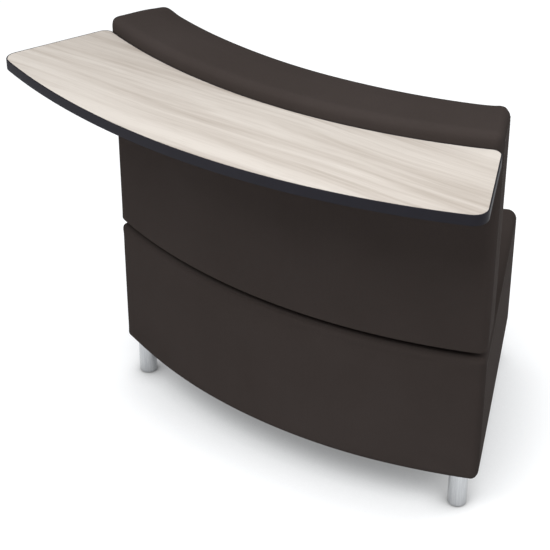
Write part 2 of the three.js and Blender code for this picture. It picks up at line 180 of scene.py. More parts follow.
def cloud(tree, vector, scale, detail=3.0, roughness=0.55, distortion=0.0):
    inputs = {"Vector": vector, "Scale": scale, "Detail": detail, "Roughness": roughness}
    inputs["Distortion"] = distortion
    return put(tree, "ShaderNodeTexNoise", inputs).outputs[0]


# %% A group with named sockets
def new_group(name, inputs, outputs):
    group = bpy.data.node_groups.new(name, "ShaderNodeTree")
    for socket, kind, value in inputs:
        made = group.interface.new_socket(name=socket, in_out="INPUT", socket_type=kind)
        if value is not None:
            made.default_value = value
    for socket in outputs:
        group.interface.new_socket(name=socket, in_out="OUTPUT", socket_type="NodeSocketFloat")
    return group, put(group, "NodeGroupInput"), put(group, "NodeGroupOutput")


PLACE = ("Place", "NodeSocketVector", None)

# %% Handling: the cloudy wear and dust that everything picks up
handling, handling_in, handling_out = new_group(
    "handling", [PLACE, ("Size", "NodeSocketFloat", 3.0)], ["Cloud", "Scuffs"]
)
wide = cloud(handling, handling_in.outputs["Place"], handling_in.outputs["Size"], 4.0, 0.6)
fine_scale = maths(handling, "MULTIPLY", handling_in.outputs["Size"], 22.0)
scuff_noise = cloud(handling, handling_in.outputs["Place"], fine_scale, 6.0, 0.7, 1.2)
handling.links.new(fitted(handling, wide, 0.3, 0.7), handling_out.inputs["Cloud"])
handling.links.new(fitted(handling, scuff_noise, 0.58, 0.75), handling_out.inputs["Scuffs"])

# %% Hide grain: the pebbled skin pressed into coated upholstery fabric
hide, hide_in, hide_out = new_group(
    "hide_grain", [PLACE, ("Scale", "NodeSocketFloat", 650.0)], ["Height", "Valleys"]
)
bent = cloud(hide, hide_in.outputs["Place"], maths(hide, "MULTIPLY", hide_in.outputs["Scale"], 0.6))
shifted = put(
    hide,
    "ShaderNodeVectorMath",
    {0: hide_in.outputs["Place"], 1: maths(hide, "MULTIPLY", bent, 0.0011)},
    operation="ADD",
).outputs[0]
cells = put(
    hide,
    "ShaderNodeTexVoronoi",
    {"Vector": shifted, "Scale": hide_in.outputs["Scale"], "Randomness": 0.9},
    feature="DISTANCE_TO_EDGE",
).outputs["Distance"]
pebbles = fitted(hide, cells, 0.0, 0.22)
pores = cloud(hide, hide_in.outputs["Place"], maths(hide, "MULTIPLY", hide_in.outputs["Scale"], 3.1), 2.0)
skin = maths(hide, "ADD", maths(hide, "MULTIPLY", pebbles, 0.8), maths(hide, "MULTIPLY", pores, 0.2))
hide.links.new(skin, hide_out.inputs["Height"])
hide.links.new(maths(hide, "SUBTRACT", 1.0, pebbles), hide_out.inputs["Valleys"])

# %% Figure: long streaks and pores that run along X, for printed or real wood
figure, figure_in, figure_out = new_group(
    "wood_figure",
    [PLACE, ("Fineness", "NodeSocketFloat", 1.0), ("Length", "NodeSocketFloat", 1.0)],
    ["Bands", "Streaks", "Pores"],
)


def along_grain(tree, source, across, along, detail, distortion):
    """Noise drawn out along X: across and along are its features per metre each way."""
    parts = put(tree, "ShaderNodeSeparateXYZ", {0: source.outputs["Place"]})
    warp = cloud(tree, stretched(tree, source.outputs["Place"], (0.9, 2.6, 2.6)), 1.0, 2.0)
    y_bent = maths(tree, "MULTIPLY_ADD", warp, 0.11, parts.outputs[1])
    x = maths(tree, "DIVIDE", maths(tree, "MULTIPLY", parts.outputs[0], along), source.outputs["Length"])
    y = maths(tree, "MULTIPLY", maths(tree, "MULTIPLY", y_bent, across), source.outputs["Fineness"])
    z = maths(tree, "MULTIPLY", parts.outputs[2], across)
    place = put(tree, "ShaderNodeCombineXYZ", {0: x, 1: y, 2: z}).outputs[0]
    return cloud(tree, place, 1.0, detail, 0.6, distortion)


bands = along_grain(figure, figure_in, 14.0, 0.8, 4.0, 0.5)
streaks = along_grain(figure, figure_in, 95.0, 3.0, 5.0, 0.35)
hairs = along_grain(figure, figure_in, 400.0, 14.0, 2.0, 0.0)
figure.links.new(fitted(figure, bands, 0.38, 0.64), figure_out.inputs["Bands"])
figure.links.new(fitted(figure, streaks, 0.38, 0.68), figure_out.inputs["Streaks"])
figure.links.new(fitted(figure, hairs, 0.55, 0.72), figure_out.inputs["Pores"])

# %% Lay: the fine scratches that polishing, drawing or brushing leaves, along a chosen direction
lay, lay_in, lay_out = new_group(
    "metal_lay", [PLACE, ("Stretch", "NodeSocketVector", (1.0, 1.0, 1.0))], ["Scratches", "Height"]
)
drawn = put(
    lay,
    "ShaderNodeVectorMath",
    {0: lay_in.outputs["Place"], 1: lay_in.outputs["Stretch"]},
    operation="MULTIPLY",
).outputs[0]
scratches = cloud(lay, drawn, 90.0, 8.0, 0.75)
lay.links.new(fitted(lay, scratches, 0.35, 0.65), lay_out.inputs["Scratches"])
lay.links.new(scratches, lay_out.inputs["Height"])

# %% Chips: pressed flakes, felted fibres or foam cells, depending on the scale
chips, chips_in, chips_out = new_group(
    "pressed_chips", [PLACE, ("Scale", "NodeSocketFloat", 300.0)], ["Tone", "Height"]
)
flakes = put(
    chips,
    "ShaderNodeTexVoronoi",
    {"Vector": chips_in.outputs["Place"], "Scale": chips_in.outputs["Scale"]},
    feature="F1",
)
flake_tone = put(chips, "ShaderNodeSeparateColor", {0: flakes.outputs["Color"]}).outputs[0]
chips.links.new(flake_tone, chips_out.inputs["Tone"])
chips.links.new(flakes.outputs["Distance"], chips_out.inputs["Height"])

# %% [markdown]
# ## Finishes
# A finish is one Principled shader with groups around it. Numbers that are the same all over the
# surface sit straight on the shader's sockets. What changes over the surface, such as colour,
# roughness and the bump's height, comes from the groups.

# %% Start a finish
def finish(name, roughness=0.5, metallic=0.0, **settings):
    material = bpy.data.materials.new(name)
    material.use_nodes = True
    tree = material.node_tree
    shader = tree.nodes["Principled BSDF"]
    shader.inputs["Roughness"].default_value = roughness
    shader.inputs["Metallic"].default_value = metallic
    for key, value in settings.items():
        shader.inputs[key.replace("_", " ")].default_value = value
    place = put(tree, "ShaderNodeTexCoord").outputs["Object"]
    return material, tree, shader, place


def use_group(tree, group, **inputs):
    return put(tree, "ShaderNodeGroup", inputs, node_tree=group).outputs


def bump(tree, shader, height, distance, strength=1.0):
    inputs = {"Height": height, "Distance": distance, "Strength": strength}
    made = put(tree, "ShaderNodeBump", inputs)
    tree.links.new(made.outputs[0], shader.inputs["Normal"])


# %% Espresso upholstery
def hide_finish(name, dark, light, roughness):
    material, tree, shader, place = finish(name, Specular_IOR_Level=0.02)
    grain = use_group(tree, hide, Place=place, Scale=620.0)
    worn = use_group(tree, handling, Place=place, Size=2.6)
    seam = put(tree, "ShaderNodeAttribute", attribute_name="seam_near").outputs["Fac"]
    colour = mixed(tree, worn["Cloud"], dark, light)
    valley = maths(tree, "MULTIPLY", grain["Valleys"], 0.35)
    colour = mixed(tree, valley, colour, [c * 0.55 for c in dark[:3]] + [1])
    # painted shade: the cloth is darkened beside each seam, where seam_near is high
    colour = mixed(tree, maths(tree, "MULTIPLY", seam, 0.5), colour, [c * 0.6 for c in dark[:3]] + [1])
    tree.links.new(colour, shader.inputs["Base Color"])
    rough = maths(tree, "MULTIPLY_ADD", worn["Cloud"], 0.08, roughness)
    rough = maths(tree, "MULTIPLY_ADD", grain["Valleys"], 0.12, rough)
    tree.links.new(rough, shader.inputs["Roughness"])
    puckers = cloud(tree, stretched(tree, place, (60, 60, 60)), 1.0, 2.0)
    gathered = maths(tree, "MULTIPLY", puckers, seam)
    height = maths(tree, "MULTIPLY_ADD", gathered, 4.0, grain["Height"])
    bump(tree, shader, height, 0.00022, 0.55)
    return material


upholstery = hide_finish("espresso_hide", (0.0395, 0.0318, 0.0290, 1), (0.0465, 0.0379, 0.0352, 1), 0.8)

# %% Bonded thread
thread, tree, shader, place = finish("bonded_thread", 0.55, Sheen_Weight=0.2)
twist = use_group(tree, lay, Place=place, Stretch=(9.0, 9.0, 9.0))
tree.links.new(
    mixed(tree, twist["Scratches"], (0.030, 0.023, 0.021, 1), (0.058, 0.047, 0.043, 1)),
    shader.inputs["Base Color"],
)
bump(tree, shader, twist["Height"], 0.0002)


# %% Printed ash laminate
def laminate_finish(name, pale, mid, dark, roughness, strength):
    material, tree, shader, place = finish(name)
    wood = use_group(tree, figure, Place=place, Fineness=1.0, Length=1.0)
    worn = use_group(tree, handling, Place=place, Size=4.0)
    colour = mixed(tree, maths(tree, "MULTIPLY", wood["Bands"], 0.9), pale, mid)
    streak = maths(tree, "MULTIPLY", wood["Streaks"], strength)
    colour = mixed(tree, maths(tree, "MULTIPLY", streak, wood["Bands"]), colour, dark)
    colour = mixed(tree, maths(tree, "MULTIPLY", wood["Pores"], 0.35 * strength), colour, dark)
    tree.links.new(colour, shader.inputs["Base Color"])
    rough = maths(tree, "MULTIPLY_ADD", worn["Cloud"], 0.06, roughness)
    rough = maths(tree, "MULTIPLY_ADD", wood["Pores"], 0.12, rough)
    tree.links.new(rough, shader.inputs["Roughness"])
    bump(tree, shader, maths(tree, "SUBTRACT", 1.0, wood["Pores"]), 0.00008)
    return material


ash = laminate_finish(
    "ash_laminate", (0.555, 0.515, 0.472, 1), (0.445, 0.402, 0.36, 1), (0.32, 0.275, 0.235, 1), 0.42, 0.65
)
backer = laminate_finish(
    "balance_sheet", (0.52, 0.49, 0.46, 1), (0.47, 0.44, 0.41, 1), (0.36, 0.33, 0.30, 1), 0.6, 0.35
)

# %% Moulded and painted finishes
def moulded_finish(name, dark, light, roughness, grain, depth):
    material, tree, shader, place = finish(name, roughness, 0.0, Specular_IOR_Level=0.1)
    peel = use_group(tree, chips, Place=place, Scale=grain)
    worn = use_group(tree, handling, Place=place, Size=7.0)
    colour = mixed(tree, worn["Cloud"], dark, light)
    scuffed = maths(tree, "MULTIPLY", worn["Scuffs"], 0.25)
    colour = mixed(tree, scuffed, colour, [min(1.0, c * 1.8 + 0.01) for c in light[:3]] + [1])
    tree.links.new(colour, shader.inputs["Base Color"])
    rough = maths(tree, "MULTIPLY_ADD", worn["Cloud"], 0.1, roughness - 0.05)
    tree.links.new(maths(tree, "MULTIPLY_ADD", worn["Scuffs"], 0.1, rough), shader.inputs["Roughness"])
    bump(tree, shader, peel["Height"], depth, 0.5)
    return material


edging = moulded_finish(
    "graphite_edging", (0.0115, 0.011, 0.015, 1), (0.0145, 0.014, 0.0185, 1), 0.55, 900, 0.00012
)
powder = moulded_finish(
    "black_powder_coat", (0.018, 0.018, 0.020, 1), (0.028, 0.028, 0.030, 1), 0.5, 700, 0.0003
)
nylon = moulded_finish(
    "black_nylon", (0.010, 0.010, 0.011, 1), (0.018, 0.018, 0.019, 1), 0.58, 1200, 0.00015
)
non_woven = moulded_finish(
    "non_woven_liner", (0.008, 0.008, 0.009, 1), (0.016, 0.016, 0.017, 1), 0.92, 500, 0.0006
)


# %% Metals
def metal_finish(name, dark, light, roughness, stretch, depth):
    material, tree, shader, place = finish(name, roughness, 1.0)
    marks = use_group(tree, lay, Place=place, Stretch=stretch)
    worn = use_group(tree, handling, Place=place, Size=9.0)
    tree.links.new(mixed(tree, marks["Scratches"], dark, light), shader.inputs["Base Color"])
    rough = maths(tree, "MULTIPLY_ADD", marks["Scratches"], 0.05, roughness)
    rough = maths(tree, "MULTIPLY_ADD", worn["Scuffs"], 0.12, rough)
    tree.links.new(rough, shader.inputs["Roughness"])
    bump(tree, shader, marks["Height"], depth, 0.4)
    return material


chrome = metal_finish(
    "polished_steel", (0.43, 0.44, 0.455, 1), (0.53, 0.54, 0.55, 1), 0.12, (3, 3, 0.15), 0.00002
)
chrome_shader = chrome.node_tree.nodes["Principled BSDF"]
chrome_shader.inputs["Anisotropic"].default_value = 0.5
chrome_shader.inputs["Anisotropic Rotation"].default_value = 0.25
zinc = metal_finish("zinc_plate", (0.42, 0.43, 0.45, 1), (0.58, 0.59, 0.58, 1), 0.32, (6, 6, 6), 0.0001)

# %% Plywood, chipboard and foam, which are mostly out of sight
def board_finish(name, pale, dark, layers_up):
    """layers_up: the plies are stacked along Z and show on upright edges, else the other way about."""
    material, tree, shader, place = finish(name, 0.7)
    wood = use_group(tree, figure, Place=place, Fineness=0.8, Length=0.8)
    colour = mixed(tree, wood["Bands"], pale, dark)
    pore_colour = [c * 0.5 for c in dark[:3]] + [1]
    colour = mixed(tree, maths(tree, "MULTIPLY", wood["Pores"], 0.5), colour, pore_colour)
    parts = put(tree, "ShaderNodeSeparateXYZ", {0: place})
    centre_y = maths(tree, "SUBTRACT", parts.outputs[1], CENTRE.y)
    flat_place = put(tree, "ShaderNodeCombineXYZ", {0: parts.outputs[0], 1: centre_y}).outputs[0]
    radius = put(tree, "ShaderNodeVectorMath", {0: flat_place}, operation="LENGTH").outputs["Value"]
    through = parts.outputs[2] if layers_up else radius
    ply = maths(tree, "FRACT", maths(tree, "MULTIPLY", through, 1 / 0.003))
    normal = put(tree, "ShaderNodeSeparateXYZ", {0: put(tree, "ShaderNodeNewGeometry").outputs["Normal"]})
    facing_up = maths(tree, "ABSOLUTE", normal.outputs[2])
    edge = maths(tree, "SUBTRACT", 1.0, facing_up) if layers_up else facing_up
    dark_ply = maths(tree, "MULTIPLY", maths(tree, "GREATER_THAN", ply, 0.5), edge)
    colour = mixed(tree, maths(tree, "MULTIPLY", dark_ply, 0.7), colour, [c * 0.55 for c in dark[:3]] + [1])
    tree.links.new(colour, shader.inputs["Base Color"])
    bump(tree, shader, maths(tree, "SUBTRACT", 1.0, wood["Pores"]), 0.0002)
    return material


flat_ply = board_finish("birch_ply_flat", (0.58, 0.40, 0.23, 1), (0.48, 0.31, 0.16, 1), True)
upright_ply = board_finish("birch_ply_upright", (0.58, 0.40, 0.23, 1), (0.48, 0.31, 0.16, 1), False)

chipboard, tree, shader, place = finish("chipboard", 0.85)
pressed = use_group(tree, chips, Place=place, Scale=420.0)
tree.links.new(
    mixed(tree, pressed["Tone"], (0.36, 0.23, 0.11, 1), (0.60, 0.43, 0.25, 1)), shader.inputs["Base Color"]
)
bump(tree, shader, pressed["Height"], 0.0006)
print("finishes:", ", ".join(sorted(m.name for m in bpy.data.materials)))

# %% [markdown]
# ## A sewn block
# The bench and the back are foam over plywood in a tight sewn cover. Spinning an upright grid round the
# curve's centre gives the slice of a ring with even squares, and bevelling its arrises gives the
# soft foam edges. Even squares matter, because the cover is then blown up a little as cloth.

# %% Spin an upright grid into a slice of a ring
def ring_slice(inner, outer, bottom, top, cell, steps):
    bm = bmesh.new()
    across = max(1, round((outer - inner) / cell))
    tall = max(1, round((top - bottom) / cell))
    bmesh.ops.create_grid(bm, x_segments=across, y_segments=tall, size=0.5)
    bmesh.ops.scale(bm, vec=(outer - inner, top - bottom, 1), verts=bm.verts)
    bmesh.ops.rotate(bm, cent=(0, 0, 0), matrix=Matrix.Rotation(math.pi / 2, 3, "X"), verts=bm.verts)
    bmesh.ops.translate(bm, vec=((inner + outer) / 2, 0, (bottom + top) / 2), verts=bm.verts)
    start = -math.pi / 2 - HALF_ANGLE
    bmesh.ops.rotate(bm, cent=(0, 0, 0), matrix=Matrix.Rotation(start, 3, "Z"), verts=bm.verts)
    bmesh.ops.spin(
        bm,
        geom=bm.verts[:] + bm.edges[:] + bm.faces[:],
        cent=(0, 0, 0),
        axis=(0, 0, 1),
        angle=2 * HALF_ANGLE,
        steps=steps,
    )
    bmesh.ops.recalc_face_normals(bm, faces=bm.faces)
    return bm


def end_normal(side):
    return Vector((side * math.cos(HALF_ANGLE), math.sin(HALF_ANGLE), 0))


# %% Soften it, and find the lines where its panels are sewn together
def soft_block(inner, outer, bottom, top, edge, cell, steps, square_below):
    bm = ring_slice(inner, outer, bottom, top, cell, steps)
    rounded = sharp_edges(bm)
    if square_below:
        rounded = [e for e in rounded if max(v.co.z for v in e.verts) > bottom + 1e-5]
    round_edges(bm, rounded, edge, 4)
    if square_below:
        round_edges(bm, sharp_edges(bm), 0.003, 2)
    bmesh.ops.subdivide_edges(bm, edges=bm.edges[:], cuts=1, use_grid_fill=True)
    bmesh.ops.recalc_face_normals(bm, faces=bm.faces)
    return bm


def seam_edges(bm, on_panel, clear_of_floor):
    """The outline of a flat panel: edges with the panel on one side only."""
    found = []
    for e in bm.edges:
        flat = [f for f in e.link_faces if on_panel(f)]
        if len(flat) == 1 and min(v.co.z for v in e.verts) > clear_of_floor:
            found.append((e, flat[0]))
    return found


def end_panel(side):
    normal = end_normal(side)
    return lambda face: face.normal.dot(normal) > 0.99999


# %% [markdown]
# ## Filling the covers
# A foam filling presses its cover outwards between the seams. Cloth with a little air pressure does the
# same: the seams and the underside are pinned, gravity is off, and twenty frames let it settle. Tight
# contract upholstery moves only millimetres, so each point's travel is eased off towards a cap, which is
# larger on the seat and on the side one leans against.

# %% Blow a cover up
def fill_cover(piece, pinned, cap, pressure):
    rest = [v.co.copy() for v in piece.data.vertices]
    pins = piece.vertex_groups.new(name="sewn")
    pins.add(pinned, 1.0, "REPLACE")
    cloth = piece.modifiers.new("filling", "CLOTH")
    settings = cloth.settings
    settings.quality = 5
    settings.mass = 0.4
    settings.tension_stiffness = 40
    settings.compression_stiffness = 40
    settings.shear_stiffness = 20
    settings.bending_stiffness = 4
    settings.use_pressure = True
    settings.uniform_pressure_force = pressure
    settings.effector_weights.gravity = 0
    settings.vertex_group_mass = "sewn"
    for number in range(1, 21):
        scene.frame_set(number)
    graph = bpy.context.evaluated_depsgraph_get()
    blown = [v.co.copy() for v in piece.evaluated_get(graph).data.vertices]
    piece.modifiers.remove(cloth)
    piece.vertex_groups.remove(pins)
    scene.frame_set(1)
    most = 0.0
    for vert, start, end in zip(piece.data.vertices, rest, blown):
        move = end - start
        limit = cap(start)
        if move.length > 1e-9 and limit > 0:
            eased = limit * math.tanh(move.length / limit)
            vert.co = start + move * (eased / move.length)
            most = max(most, eased)
    piece.data.update()
    return most


# %% Ease a value in from 0 to 1
def eased(value, start, end):
    t = min(1.0, max(0.0, (value - start) / (end - start)))
    return t * t * (3 - 2 * t)


# %% Sink the seams, and mark how near each point is to one, for the finish's painted shade and puckers
SEAM_WIDTH = 0.0016
SEAM_DEPTH = 0.0014
SEAM_REACH = 0.028


def sink_seams(piece, seam_pairs):
    bm = bmesh.new()
    bm.from_mesh(piece.data)
    bm.verts.ensure_lookup_table()
    chosen = {tuple(sorted(pair)) for pair in seam_pairs}
    lines = [e for e in bm.edges if tuple(sorted(v.index for v in e.verts)) in chosen]
    points = []
    for e in lines:
        a, b = (v.co.copy() for v in e.verts)
        count = max(2, round((b - a).length / 0.0008))
        points += [a.lerp(b, i / count) for i in range(count)]
    tree = kdtree.KDTree(len(points))
    for i, point in enumerate(points):
        tree.insert(point, i)
    tree.balance()
    round_edges(bm, lines, SEAM_WIDTH, 2)
    bm.normal_update()
    # seam_near: how near each point is to a seam; the finish paints shade there by darkening the cloth, and
    # puckers it with a bump
    near = bm.verts.layers.float.new("seam_near")
    for vert in bm.verts:
        distance = tree.find(vert.co)[2]
        vert[near] = math.exp(-((distance / (SEAM_REACH / 2)) ** 2))
        if distance < 3 * SEAM_WIDTH:
            vert.co -= vert.normal * SEAM_DEPTH * math.exp(-((distance / (0.6 * SEAM_WIDTH)) ** 2))
    bm.to_mesh(piece.data)
    bm.free()
    piece.data.shade_smooth()


# %% [markdown]
# ## Stitches
# Beside each seam the panel is sewn down with a row of stitches in thread of the same colour. Each
# stitch is a short bead of thread, pulled into the cloth at both ends. There are over a thousand, so
# each one has only a few dozen faces.

# %% Lay a row of stitches along each seam
STITCH_PITCH = 0.0075
STITCH_ASIDE = 0.0055


def stitch_rows(name, piece, rows):
    """rows holds (one end, other end, direction away from the seam) for each straight bit of seam."""
    bm = bmesh.new()
    batch = bmesh.new()
    for a, b, aside in rows:
        if len(batch.verts) > 3000:
            joined(bm, batch)
            batch = bmesh.new()
        along = (b - a).normalized()
        count = max(1, round((b - a).length / STITCH_PITCH))
        pitch = (b - a).length / count
        for i in range(count):
            middle = a + along * pitch * (i + 0.5) + aside * STITCH_ASIDE
            found, spot, normal, _ = piece.closest_point_on_mesh(middle)
            across = normal.cross(along).normalized()
            turn = Matrix((along, across, normal)).transposed().to_4x4()
            shape = Matrix.Diagonal((pitch * 0.42, 0.00042, 0.00040, 1))
            bmesh.ops.create_uvsphere(
                batch,
                u_segments=6,
                v_segments=5,
                radius=1.0,
                matrix=Matrix.Translation(spot - normal * 0.0001) @ turn @ shape,
            )
    joined(bm, batch)
    return finished(name, bm, thread, centre=Vector(), sharp=None)


# %% Make one whole upholstered block
def upholstered(name, block, panels, cap, pinned_below, pressure, nodes):
    seams = []
    for on_panel in panels:
        seams += seam_edges(block, on_panel, pinned_below)
    block.verts.index_update()
    pairs, rows = [], []
    for edge, flat in seams:
        a, b = edge.verts
        pairs.append((a.index, b.index))
        inward = flat.calc_center_median() - (a.co + b.co) / 2
        along = (b.co - a.co).normalized()
        aside = (inward - along * inward.dot(along)).normalized()
        rows.append((a.co + CENTRE, b.co + CENTRE, aside))
    sewn = {i for pair in pairs for i in pair}
    low = {v.index for v in block.verts if v.co.z < pinned_below}
    piece = finished(name, block, upholstery, sharp=None)
    moved = 0.0
    moved = fill_cover(piece, list(sewn | low), cap, pressure)
    sink_seams(piece, pairs)
    stitch_rows(name + "_stitches", piece, rows)
    smoothing = piece.modifiers.new("smooth", "SUBSURF")
    smoothing.levels = smoothing.render_levels = 1
    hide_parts(*nodes)
    print(name, "faces", len(piece.data.polygons), "seam", len(pairs), "moved mm", round(moved * 1000, 1))
    return piece


# %% [markdown]
# ## The bench
# Its cover wraps from the outer face over the seat and down the front, and a flat panel closes each
# end. The seat crowns most in the open middle, and not at all where the back stands on it.

# %% Bench
BASE_EDGE = 0.020
bench_block = soft_block(
    SEAT_R, FACE_R, base_low.z, base_high.z, BASE_EDGE, cell=0.032, steps=24, square_below=False
)


def bench_cap(point):
    r = (point - CENTRE).xy.length
    open_seat = 1 - eased(r, BACK_R - 0.10, BACK_R - 0.01)
    high = eased(point.z, base_high.z - 0.03, base_high.z - 0.005)
    return 0.0025 + high * (0.0095 * open_seat - 0.0025 * (1 - open_seat))


upholstered(
    "bench_cover",
    bench_block,
    [end_panel(-1), end_panel(1)],
    bench_cap,
    base_low.z + 0.003,
    pressure=3.0,
    nodes=["base_cover", "seat_cushion", "base_outer_foam", "base_inner_foam", "base_end_foam_left",
           "base_end_foam_right"],
)

# %% [markdown]
# ## The back
# The back is the same kind of block, taller and thinner, and its lower edge is pulled in square. It
# ends a little above the bench. The side one leans against is softer than the customer's side.

# %% Back
BACK_EDGE = 0.024
back_block = soft_block(
    BACK_R, FACE_R, back_low.z, back_high.z, BACK_EDGE, cell=0.043, steps=28, square_below=True
)


def back_cap(point):
    r = (point - CENTRE).xy.length
    leaned_on = 1 - eased(r, BACK_R + 0.01, BACK_R + 0.08)
    outer = eased(r, FACE_R - 0.03, FACE_R - 0.01)
    return 0.002 + 0.007 * leaned_on - 0.0012 * outer


back = upholstered(
    "back_cover_sewn",
    back_block,
    [end_panel(-1), end_panel(1)],
    back_cap,
    back_low.z + 0.004,
    pressure=3.0,
    nodes=["back_cover", "back_cushion", "back_outer_foam", "back_top_foam", "back_end_foam_left",
           "back_end_foam_right"],
)

# %% [markdown]
# ## The strip round the back's foot
# The back stands on a recessed plywood foot, which leaves a shadow line over the bench. On the real unit
# a strip of the same upholstery is stapled round the foot, so that no bare wood shows in the gap. A
# smaller slice of the ring gives its outline, two cuts set its ends in, and solidify gives its thickness.

# %% Foot strip
FOOT_INSET = 0.045
STRIP = 0.001
SLIP = 0.0005
strip_inset = FOOT_INSET - STRIP
strip = ring_slice(
    BACK_R + strip_inset, FACE_R - strip_inset, base_high.z + SLIP, back_low.z + SLIP, cell=0.1, steps=40
)
bmesh.ops.delete(strip, geom=[f for f in strip.faces if abs(f.normal.z) > 0.9], context="FACES")
for _, side in SIDES:
    normal = end_normal(side)
    cut = bmesh.ops.bisect_plane(
        strip,
        geom=strip.verts[:] + strip.edges[:] + strip.faces[:],
        plane_co=-normal * strip_inset,
        plane_no=normal,
        clear_outer=True,
    )
    upright = [g for g in cut["geom_cut"] if isinstance(g, bmesh.types.BMEdge)]
    bmesh.ops.bridge_loops(strip, edges=upright)
bmesh.ops.recalc_face_normals(strip, faces=strip.faces)
bmesh.ops.solidify(strip, geom=strip.faces[:], thickness=0.8 * STRIP)
bmesh.ops.recalc_face_normals(strip, faces=strip.faces)
foot_strip = finished("back_foot_strip", strip, upholstery)
print("foot strip faces", len(foot_strip.data.polygons))

# %% [markdown]
# ## The worktop
# A wood-grain laminate and a plain balance sheet are pressed onto chipboard, and a dark plastic band
# goes round the edge, with its upper arris eased. The plate is spun from one radial line. Its first and last
# steps are longer, to leave room to round the corners in one bevel each.

# %% A flat plate with rounded corners
FRONT_CORNER = 0.038
BACK_CORNER = 0.025
CORNER_ROOM = math.radians(2.2)


def worktop_plate(bottom, top, inset=0.0):
    bm = bmesh.new()
    inner = FACE_R + 0.0004
    start = -math.pi / 2 - HALF_ANGLE
    direction = Vector((math.cos(start), math.sin(start), 0))
    verts = [bm.verts.new(direction * r + Vector((0, 0, bottom))) for r in (inner, WORKTOP_R)]
    line = [bm.edges.new(verts)]
    for angle, steps in ((CORNER_ROOM, 1), (2 * HALF_ANGLE - 2 * CORNER_ROOM, 60), (CORNER_ROOM, 1)):
        spun = bmesh.ops.spin(
            bm, geom=verts + line, cent=(0, 0, 0), axis=(0, 0, 1), angle=angle, steps=steps
        )["geom_last"]
        verts = [g for g in spun if isinstance(g, bmesh.types.BMVert)]
        line = [g for g in spun if isinstance(g, bmesh.types.BMEdge)]
    bmesh.ops.dissolve_faces(bm, faces=bm.faces[:])
    if inset:
        ring = bmesh.ops.inset_region(
            bm, faces=bm.faces[:], thickness=inset, use_even_offset=True, use_boundary=True
        )
        bmesh.ops.delete(bm, geom=ring["faces"], context="FACES")
    raised = bmesh.ops.extrude_face_region(bm, geom=bm.faces[:])["geom"]
    lifted = [g for g in raised if isinstance(g, bmesh.types.BMVert)]
    bmesh.ops.translate(bm, vec=(0, 0, top - bottom), verts=lifted)
    bmesh.ops.recalc_face_normals(bm, faces=bm.faces)
    for near, radius in ((False, FRONT_CORNER - inset), (True, BACK_CORNER - inset)):
        middle = (inner + WORKTOP_R) / 2
        corners = [
            e for e in sharp_edges(bm)
            if abs(e.verts[0].co.z - e.verts[1].co.z) > 1e-5 and (e.verts[0].co.xy.length < middle) == near
        ]
        round_edges(bm, corners, radius, 10)
    return bm


def level_edges(bm):
    """The edges round the top and the underside of a plate."""
    return [e for e in sharp_edges(bm) if abs(e.verts[0].co.z - e.verts[1].co.z) < 1e-5]


# %% Laminate, balance sheet and edge band
BAND = 0.003
LAMINATE = 0.0008
for name, low, high, material in (
    ("worktop_ash_sheet", band_high.z - LAMINATE, band_high.z, ash),
    ("worktop_balance_sheet", band_low.z, band_low.z + LAMINATE, backer),
):
    sheet = finished(name, worktop_plate(low, high, BAND + 0.0002), material)
    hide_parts("worktop_laminate" if high == band_high.z else "worktop_backer")

band = worktop_plate(band_low.z, band_high.z)
middle_z = (band_low.z + band_high.z) / 2
round_edges(band, [e for e in level_edges(band) if e.verts[0].co.z > middle_z], 0.0012, 3)
flats = [f for f in band.faces if abs(f.normal.z) > 0.9999 and f.calc_area() > 0.05]
bmesh.ops.inset_region(band, faces=flats, thickness=BAND - 0.0012, use_even_offset=True)
bmesh.ops.delete(band, geom=flats, context="FACES")
openings = [e for e in band.edges if e.is_boundary]
bmesh.ops.bridge_loops(band, edges=openings)
bmesh.ops.recalc_face_normals(band, faces=band.faces)
edge_band = finished("worktop_band", band, edging)
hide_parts("worktop_edge_band")
print("worktop band faces", len(edge_band.data.polygons))

# %% [markdown]
# ## Legs and levelling feet
# Each leg is a chromed tube with its lower edge eased and a floor inside it. A threaded stem in that
# floor carries a nylon pad, and winding the pad down lifts the corner. The thread is a real helix:
# spinning a small tooth with a step upwards at each turn, as a screw-cutting lathe would.

# %% Leg tubes
leg_boxes = {i: [Vector(c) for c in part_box(f"leg_tube_{i}")] for i in (1, 2, 3, 4)}
LEG_R = (leg_boxes[1][1].x - leg_boxes[1][0].x) / 2
LEG_TOP = base_low.z - 0.0009
LEG_LOW = leg_boxes[1][0].z
WALL = 0.002
STEM_HOLE_R = 0.0053
END_PLATE_TOP = LEG_LOW + 0.0024


def leg_centre(i):
    low, high = leg_boxes[i]
    return Vector(((low.x + high.x) / 2, (low.y + high.y) / 2, 0))


def eased_corner(r, z, ease, steps=4):
    """Points of a quarter round at a profile's lower outer corner."""
    angles = [math.pi / 2 * k / steps for k in range(steps + 1)]
    return [(r - ease * (1 - math.sin(a)), z + ease * (1 - math.cos(a))) for a in angles]


tube_profile = (
    [(STEM_HOLE_R, END_PLATE_TOP), (LEG_R - WALL, END_PLATE_TOP), (LEG_R - WALL, LEG_LOW)]
    + eased_corner(LEG_R, LEG_LOW, 0.0008)
    + [(LEG_R, LEG_TOP - 0.0005), (LEG_R - 0.0005, LEG_TOP), (STEM_HOLE_R, LEG_TOP)]
    + [(STEM_HOLE_R, END_PLATE_TOP)]
)
for i in (1, 2, 3, 4):
    bm = bmesh.new()
    turned(bm, tube_profile, 72)
    leg = finished(f"leg_{i}", bm, chrome, centre=leg_centre(i))
    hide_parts(f"leg_tube_{i}")

